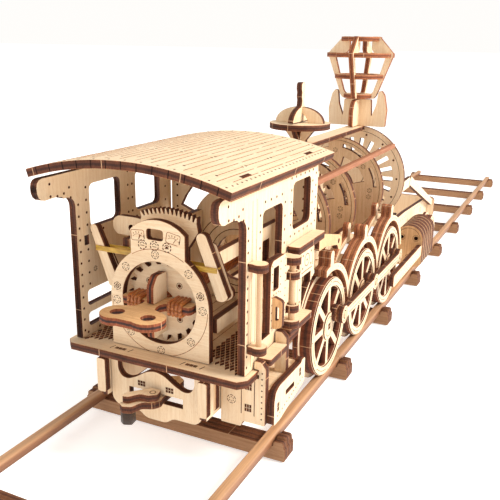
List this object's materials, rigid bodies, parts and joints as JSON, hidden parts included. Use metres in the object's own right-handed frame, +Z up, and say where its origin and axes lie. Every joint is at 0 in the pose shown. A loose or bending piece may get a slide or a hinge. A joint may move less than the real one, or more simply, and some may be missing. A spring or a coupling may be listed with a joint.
{
  "type": "wooden jigsaw locomotive model",
  "caption": "Plywood steam locomotive kit standing on its track, with rolling wheelsets, coupling rods, a winding key, a hinged cab door and a coupler.",
  "frame": {"origin": "on the ground, under the middle of the track", "axes": "+Y is forward along the track, the way the locomotive runs, +X is its right-hand side and +Z is up"},
  "size_m": [0.104, 0.716, 0.1624],
  "materials": {
    "birch_ply": "unvarnished laser-cut birch plywood",
    "track_ply": "unvarnished plywood standing on its burnt edges",
    "brown_rubber": "dull latex bands, twisted together"
  },
  "bodies": {
    "track": {"track_section_rear": "track_ply", "track_section_front": "track_ply"},
    "locomotive": {"frame_plate_left": "birch_ply", "frame_plate_right": "birch_ply", "rear_beam": "birch_ply", "front_beam": "birch_ply", "cab_floor": "birch_ply", "cab_wall_left": "birch_ply", "cab_wall_right": "birch_ply", "cab_roof": "birch_ply", "cab_bulkhead": "birch_ply", "backhead": "birch_ply", "toothed_quadrant": "birch_ply", "side_step_right": "birch_ply", "grab_rail_right": "birch_ply", "door_post": "birch_ply", "window_ledge": "birch_ply", "inner_frame_left": "birch_ply", "inner_frame_right": "birch_ply", "rubber_motor": "brown_rubber", "boiler_rib_rear": "birch_ply", "boiler_rib_middle": "birch_ply", "boiler_rib_front": "birch_ply", "smokebox_ring": "birch_ply", "longeron_left": "birch_ply", "longeron_right": "birch_ply", "steam_dome": "birch_ply", "chimney_base": "birch_ply", "chimney_funnel": "birch_ply", "splasher_left": "birch_ply", "splasher_right": "birch_ply", "cylinder_left": "birch_ply", "cylinder_right": "birch_ply", "front_brace_left": "birch_ply", "front_brace_right": "birch_ply"},
    "wheelset_1": {"driving_wheel_left_1": "birch_ply", "driving_wheel_right_1": "birch_ply", "driving_axle_1": "birch_ply"},
    "wheelset_2": {"driving_wheel_left_2": "birch_ply", "driving_wheel_right_2": "birch_ply", "driving_axle_2": "birch_ply"},
    "wheelset_3": {"driving_wheel_left_3": "birch_ply", "driving_wheel_right_3": "birch_ply", "driving_axle_3": "birch_ply"},
    "pilot_wheelset": {"pilot_wheel_left": "birch_ply", "pilot_wheel_right": "birch_ply", "pilot_axle": "birch_ply"},
    "rod_left": {"coupling_rod_left": "birch_ply"},
    "rod_right": {"coupling_rod_right": "birch_ply"},
    "winding_shaft": {"winding_key": "birch_ply", "ratchet_wheel": "birch_ply"},
    "motor_output": {"output_gear": "birch_ply"},
    "gear_shaft": {"boiler_gear": "birch_ply"},
    "lever_left": {"pawl_lever_left": "birch_ply"},
    "lever_right": {"pawl_lever_right": "birch_ply"},
    "door": {"cab_door": "birch_ply"},
    "drawbar": {"coupler_drawbar": "birch_ply"},
    "latch": {"coupler_latch": "birch_ply"}
  },
  "joints": [
    {"name": "travel_along_track", "type": "slide", "parent": "track", "child": "locomotive", "axis": [0, 1, 0], "range_m": [-0.045, 0.245]},
    {"name": "wheelset_1_roll", "type": "hinge", "parent": "locomotive", "child": "wheelset_1", "pos_m": [0, -0.212, 0.033], "axis": [-1, 0, 0], "range_deg": [-112.5, 611]},
    {"name": "wheelset_2_roll", "type": "hinge", "parent": "locomotive", "child": "wheelset_2", "pos_m": [0, -0.16, 0.033], "axis": [-1, 0, 0], "range_deg": [-112.5, 611]},
    {"name": "wheelset_3_roll", "type": "hinge", "parent": "locomotive", "child": "wheelset_3", "pos_m": [0, -0.108, 0.033], "axis": [-1, 0, 0], "range_deg": [-112.5, 611]},
    {"name": "rod_left_on_crank", "type": "hinge", "parent": "wheelset_2", "child": "rod_left", "pos_m": [-0.0463, -0.1535, 0.0375], "axis": [-1, 0, 0], "range_deg": [-611, 112.5]},
    {"name": "rod_right_on_crank", "type": "hinge", "parent": "wheelset_2", "child": "rod_right", "pos_m": [0.0463, -0.1535, 0.0375], "axis": [-1, 0, 0], "range_deg": [-611, 112.5]},
    {"name": "pilot_wheelset_roll", "type": "hinge", "parent": "locomotive", "child": "pilot_wheelset", "pos_m": [0, 0.026, 0.022], "axis": [-1, 0, 0], "range_deg": [-215.5, 1171]},
    {"name": "winding_key_turn", "type": "hinge", "parent": "locomotive", "child": "winding_shaft", "pos_m": [0, -0.2827, 0.0626], "axis": [0, 1, 0], "continuous": true},
    {"name": "motor_output_turn", "type": "hinge", "parent": "locomotive", "child": "motor_output", "pos_m": [0, -0.0912, 0.0626], "axis": [0, 1, 0], "range_deg": [-78, 422]},
    {"name": "gear_shaft_turn", "type": "hinge", "parent": "locomotive", "child": "gear_shaft", "pos_m": [0, -0.164, 0.078], "axis": [-1, 0, 0], "range_deg": [-56.5, 306]},
    {"name": "lever_left_swing", "type": "hinge", "parent": "locomotive", "child": "lever_left", "pos_m": [-0.0244, -0.2831, 0.0675], "axis": [0, 1, 0], "range_deg": [0, 22]},
    {"name": "lever_right_swing", "type": "hinge", "parent": "locomotive", "child": "lever_right", "pos_m": [0.0244, -0.2831, 0.0695], "axis": [0, 1, 0], "range_deg": [-3, 32]},
    {"name": "cab_door_swing", "type": "hinge", "parent": "locomotive", "child": "door", "pos_m": [0.0422, -0.2588, 0.065], "axis": [0, 0, 1], "range_deg": [0, 92]},
    {"name": "coupler_drawbar_swing", "type": "hinge", "parent": "locomotive", "child": "drawbar", "pos_m": [0, -0.28, 0.0248], "axis": [0, 0, 1], "range_deg": [-11, 11]},
    {"name": "coupler_latch_swing", "type": "hinge", "parent": "drawbar", "child": "latch", "pos_m": [0.0016, -0.2962, 0.028], "axis": [0, 0, 1], "range_deg": [-15, 25]}
  ],
  "couplings": [
    {"joint": "wheelset_1_roll", "follows": "travel_along_track", "rad_per_m": 43.478},
    {"joint": "wheelset_2_roll", "follows": "travel_along_track", "rad_per_m": 43.478},
    {"joint": "wheelset_3_roll", "follows": "travel_along_track", "rad_per_m": 43.478},
    {"joint": "rod_left_on_crank", "follows": "travel_along_track", "rad_per_m": -43.478},
    {"joint": "rod_right_on_crank", "follows": "travel_along_track", "rad_per_m": -43.478},
    {"joint": "pilot_wheelset_roll", "follows": "travel_along_track", "rad_per_m": 83.333},
    {"joint": "motor_output_turn", "follows": "travel_along_track", "rad_per_m": 30},
    {"joint": "gear_shaft_turn", "follows": "travel_along_track", "rad_per_m": 21.739}
  ]
}
